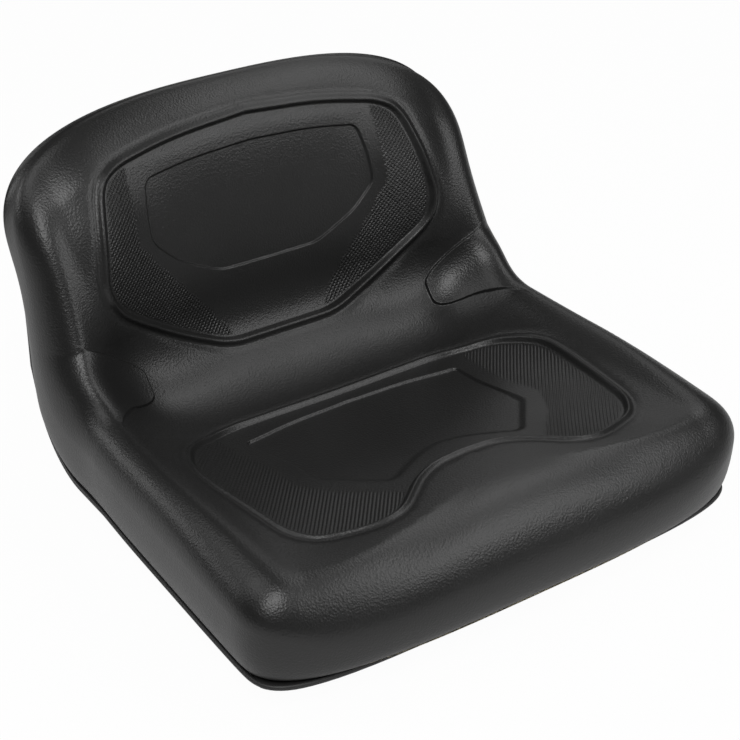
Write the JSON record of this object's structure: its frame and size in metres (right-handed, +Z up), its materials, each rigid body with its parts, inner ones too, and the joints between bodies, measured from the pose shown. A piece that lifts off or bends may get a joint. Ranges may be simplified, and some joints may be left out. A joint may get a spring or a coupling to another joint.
{
  "type": "tractor seat",
  "caption": "Mid-back bucket seat for a garden tractor: grained black cover with pressed back and seat panels over foam, on a ribbed pan with threaded mounting inserts.",
  "frame": {"origin": "centre of the bolt pattern on the mounting face under the pan", "axes": "+Z up, +Y from the front edge to the backrest, +X to the left of a sitter"},
  "size_m": [0.4944, 0.4846, 0.3187],
  "materials": {
    "seat_cover": "grained black vinyl with a soft sheen",
    "foam_cushion": "open-cell polyurethane foam",
    "seat_pan": "fine textured black polypropylene",
    "threaded_inserts": "zinc plated"
  },
  "bodies": {
    "root": {"seat_cover": "seat_cover", "foam_cushion": "foam_cushion", "seat_pan": "seat_pan", "threaded_inserts": "threaded_inserts"}
  },
  "joints": []
}
